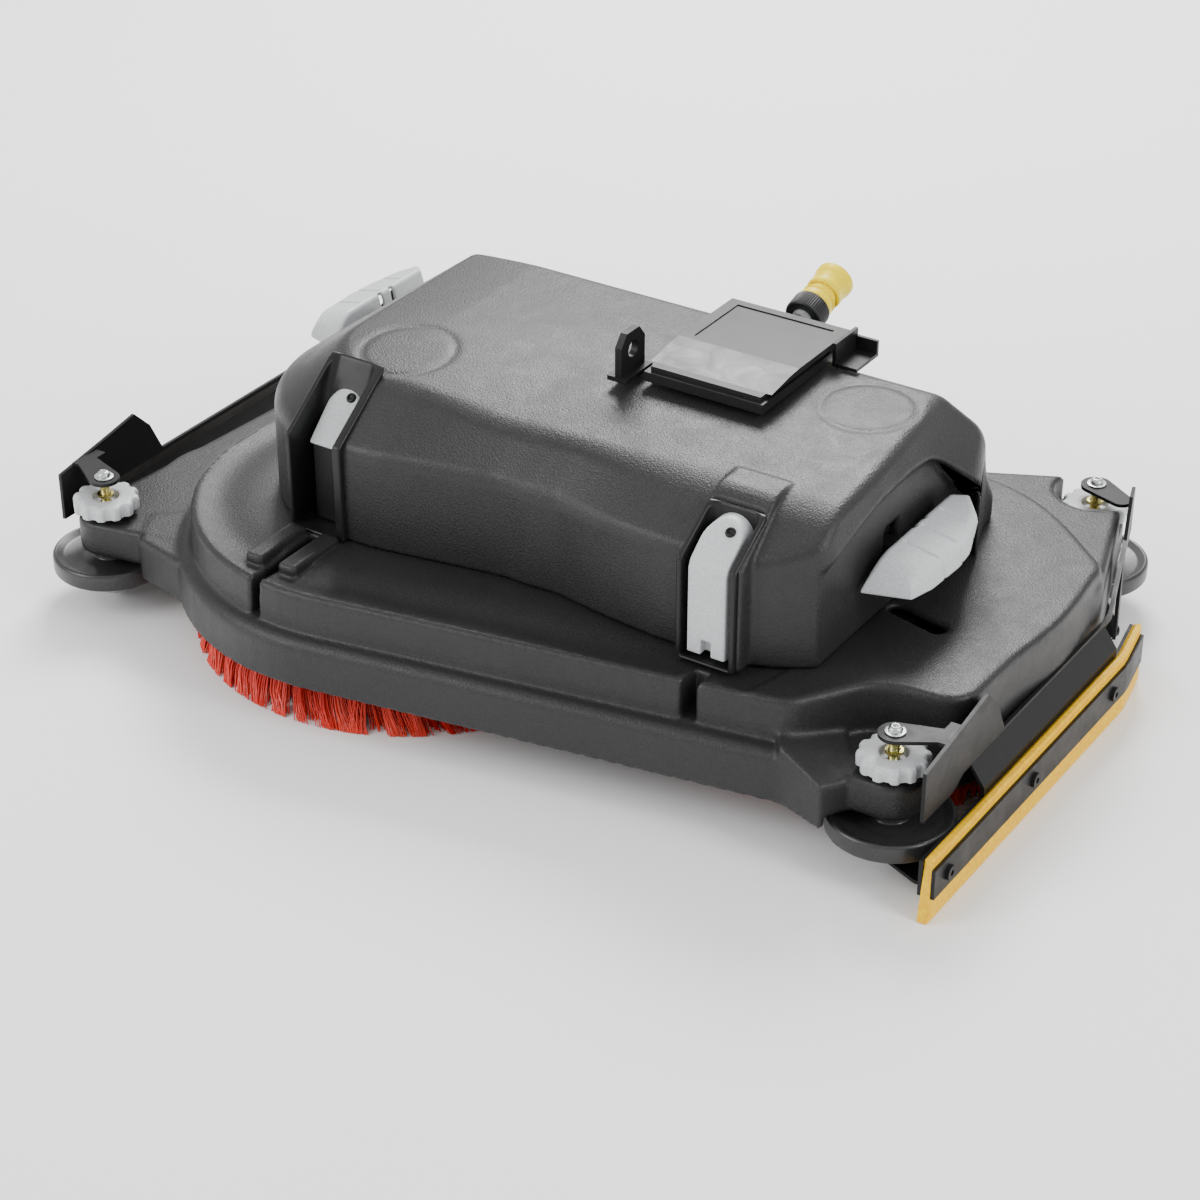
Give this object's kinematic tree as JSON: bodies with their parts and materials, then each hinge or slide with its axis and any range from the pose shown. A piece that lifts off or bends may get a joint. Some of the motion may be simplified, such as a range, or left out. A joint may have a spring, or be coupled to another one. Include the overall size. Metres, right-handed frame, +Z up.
{
  "type": "scrubbing brush deck",
  "caption": "Scrubbing deck of a floor scrubber: disc brushes under a black hood, corner rollers, side squeegees on adjusting spindles, foot pedals and a hose coupling.",
  "frame": {"origin": "on the floor, under the centre of the bounding box", "axes": "+Z up; +X along the deck's width to the machine's right; -Y to the front, where the two light covers are"},
  "size_m": [0.87, 0.576, 0.2929],
  "materials": {
    "moulded_black": "fine-grained charcoal black moulding",
    "satin_black": "smooth satin black moulding",
    "black_steel": "satin black powder coat",
    "light_grey": "light grey moulding",
    "zinc": "bright zinc-plated steel",
    "yellow_zinc": "yellow passivated steel",
    "red_bristle": "red nylon bristles",
    "brush_back": "dark moulded brush back",
    "roller_grey": "dark grey hard plastic",
    "yellow_rubber": "amber polyurethane lip",
    "yellow_plastic": "bright yellow plastic",
    "clear_pipe": "clear plastic pipe",
    "cast_alloy": "cast alloy case",
    "motor_steel": "dark painted motor can",
    "hose_rubber": "black rubber hose",
    "valve_body": "brass valve body"
  },
  "bodies": {
    "deck": {"deck_housing": "moulded_black", "hood": "moulded_black", "base_frame": "zinc", "top_block": "satin_black", "top_plate": "satin_black", "rear_bracket": "black_steel", "lifting_eye": "black_steel", "inlet_elbow": "clear_pipe", "coupling_nut": "satin_black", "coupling_body": "yellow_plastic", "water_valve": "valve_body", "feed_hose": "hose_rubber", "roller_bushes": "satin_black", "gearbox_bolts": "zinc", "cover_screws": "zinc", "water_nozzles": "satin_black", "hangers": "zinc", "pedal_brackets": "zinc", "pocket_liner_left": "satin_black", "front_cover_left": "light_grey", "gearbox_left": "cast_alloy", "motor_left": "motor_steel", "water_hose_left": "hose_rubber", "pocket_liner_right": "satin_black", "front_cover_right": "light_grey", "gearbox_right": "cast_alloy", "motor_right": "motor_steel", "water_hose_right": "hose_rubber"},
    "brush_left": {"brush_hub_left": "zinc", "brush_disc_left": "brush_back", "bristles_left": "red_bristle"},
    "brush_right": {"brush_hub_right": "zinc", "brush_disc_right": "brush_back", "bristles_right": "red_bristle"},
    "squeegee_carrier_left": {"carrier_left": "black_steel", "squeegee_left": "yellow_rubber", "clamp_strip_left": "black_steel", "clamp_screws_left": "zinc", "spindles_left": "yellow_zinc", "spindle_screws_left": "zinc"},
    "squeegee_carrier_right": {"carrier_right": "black_steel", "squeegee_right": "yellow_rubber", "clamp_strip_right": "black_steel", "clamp_screws_right": "zinc", "spindles_right": "yellow_zinc", "spindle_screws_right": "zinc"},
    "roller_front_left": {"roller_front_left": "roller_grey"},
    "roller_front_right": {"roller_front_right": "roller_grey"},
    "roller_rear_left": {"roller_rear_left": "roller_grey"},
    "roller_rear_right": {"roller_rear_right": "roller_grey"},
    "thumbwheel_front_left": {"thumbwheel_front_left": "light_grey"},
    "thumbwheel_rear_left": {"thumbwheel_rear_left": "light_grey"},
    "thumbwheel_front_right": {"thumbwheel_front_right": "light_grey"},
    "thumbwheel_rear_right": {"thumbwheel_rear_right": "light_grey"},
    "foot_pedal_left": {"pedal_left": "light_grey", "pedal_lever_left": "black_steel"},
    "foot_pedal_right": {"pedal_right": "light_grey", "pedal_lever_right": "black_steel"},
    "coupling_sleeve": {"coupling_sleeve": "yellow_plastic"}
  },
  "joints": [
    {"name": "brush_spin_left", "type": "hinge", "parent": "deck", "child": "brush_left", "pos_m": [-0.129, -0.089, 0.1], "axis": [0, 0, 1], "continuous": true},
    {"name": "brush_spin_right", "type": "hinge", "parent": "deck", "child": "brush_right", "pos_m": [0.232, 0.02, 0.1], "axis": [0, 0, 1], "continuous": true},
    {"name": "carrier_height_left", "type": "slide", "parent": "deck", "child": "squeegee_carrier_left", "axis": [0, 0, 1], "range_m": [0, 0.01]},
    {"name": "carrier_height_right", "type": "slide", "parent": "deck", "child": "squeegee_carrier_right", "axis": [0, 0, 1], "range_m": [0, 0.01]},
    {"name": "roller_spin_front_left", "type": "hinge", "parent": "deck", "child": "roller_front_left", "pos_m": [-0.368, -0.201, 0.037], "axis": [0, 0, 1], "continuous": true},
    {"name": "roller_spin_front_right", "type": "hinge", "parent": "deck", "child": "roller_front_right", "pos_m": [0.368, -0.182, 0.037], "axis": [0, 0, 1], "continuous": true},
    {"name": "roller_spin_rear_left", "type": "hinge", "parent": "deck", "child": "roller_rear_left", "pos_m": [-0.332, 0.239, 0.037], "axis": [0, 0, 1], "continuous": true},
    {"name": "roller_spin_rear_right", "type": "hinge", "parent": "deck", "child": "roller_rear_right", "pos_m": [0.332, 0.239, 0.037], "axis": [0, 0, 1], "continuous": true},
    {"name": "thumbwheel_turn_front_left", "type": "hinge", "parent": "deck", "child": "thumbwheel_front_left", "pos_m": [-0.368, -0.201, 0.09], "axis": [0, 0, 1], "range_deg": [-2881, 0]},
    {"name": "thumbwheel_turn_rear_left", "type": "hinge", "parent": "deck", "child": "thumbwheel_rear_left", "pos_m": [-0.332, 0.239, 0.09], "axis": [0, 0, 1], "range_deg": [-2881, 0]},
    {"name": "thumbwheel_turn_front_right", "type": "hinge", "parent": "deck", "child": "thumbwheel_front_right", "pos_m": [0.368, -0.182, 0.09], "axis": [0, 0, 1], "range_deg": [-2881, 0]},
    {"name": "thumbwheel_turn_rear_right", "type": "hinge", "parent": "deck", "child": "thumbwheel_rear_right", "pos_m": [0.332, 0.239, 0.09], "axis": [0, 0, 1], "range_deg": [-2881, 0]},
    {"name": "pedal_press_left", "type": "hinge", "parent": "deck", "child": "foot_pedal_left", "pos_m": [-0.214, 0.074, 0.172], "axis": [0, -1, 0], "range_deg": [0, 8], "stiffness_Nm_per_rad": 3, "springref_deg": -5.73},
    {"name": "pedal_press_right", "type": "hinge", "parent": "deck", "child": "foot_pedal_right", "pos_m": [0.268, -0.038, 0.172], "axis": [0, 1, 0], "range_deg": [0, 8], "stiffness_Nm_per_rad": 3, "springref_deg": -5.73},
    {"name": "coupling_sleeve_pull", "type": "slide", "parent": "deck", "child": "coupling_sleeve", "axis": [0, -0.9659, -0.2588], "range_m": [0, 0.004], "stiffness_N_per_m": 800, "springref_m": -0.003}
  ],
  "couplings": [
    {"joint": "thumbwheel_turn_front_left", "follows": "carrier_height_left", "rad_per_m": -5026.6},
    {"joint": "thumbwheel_turn_rear_left", "follows": "carrier_height_left", "rad_per_m": -5026.6},
    {"joint": "thumbwheel_turn_front_right", "follows": "carrier_height_right", "rad_per_m": -5026.6},
    {"joint": "thumbwheel_turn_rear_right", "follows": "carrier_height_right", "rad_per_m": -5026.6}
  ]
}
